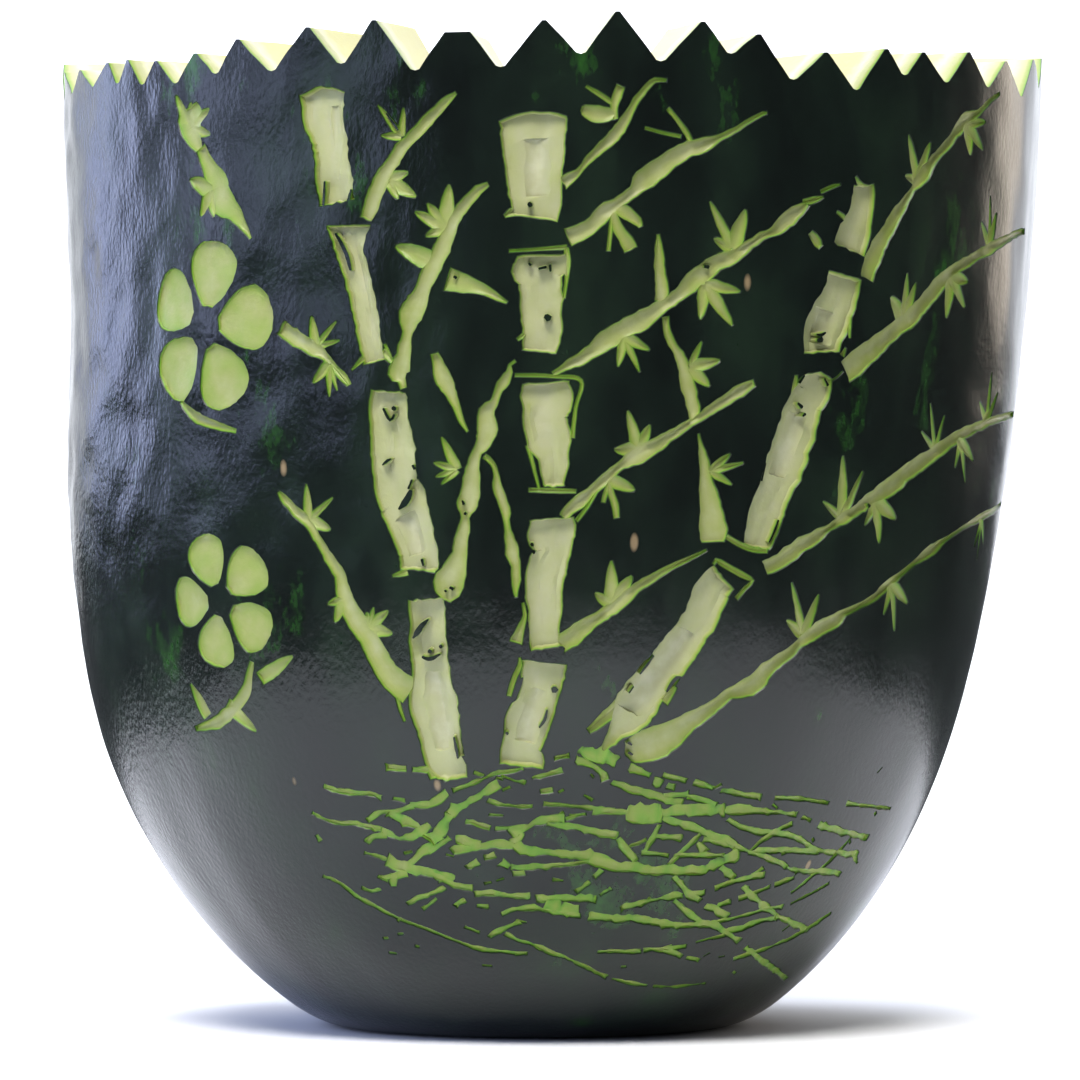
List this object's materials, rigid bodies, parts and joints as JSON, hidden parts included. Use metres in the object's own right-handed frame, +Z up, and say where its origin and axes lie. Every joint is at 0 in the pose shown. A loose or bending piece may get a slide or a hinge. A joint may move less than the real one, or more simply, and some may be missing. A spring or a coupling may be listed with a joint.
{
  "type": "carved winter melon",
  "caption": "Hollowed winter melon used as a serving bowl, open at the top with a toothed rim, its dark rind carved with bamboo, blossom and grass.",
  "frame": {"origin": "on the surface that the melon stands on, in the middle of the rim seen from above", "axes": "+Z up, the carved front faces -Y, +X to the right of the front"},
  "size_m": [0.239, 0.2399, 0.2375],
  "materials": {
    "melon": "waxy near-black green rind, with pale yellow-green flesh where it is carved and white flesh in the hollow"
  },
  "bodies": {
    "root": {"melon": "melon"}
  },
  "joints": []
}
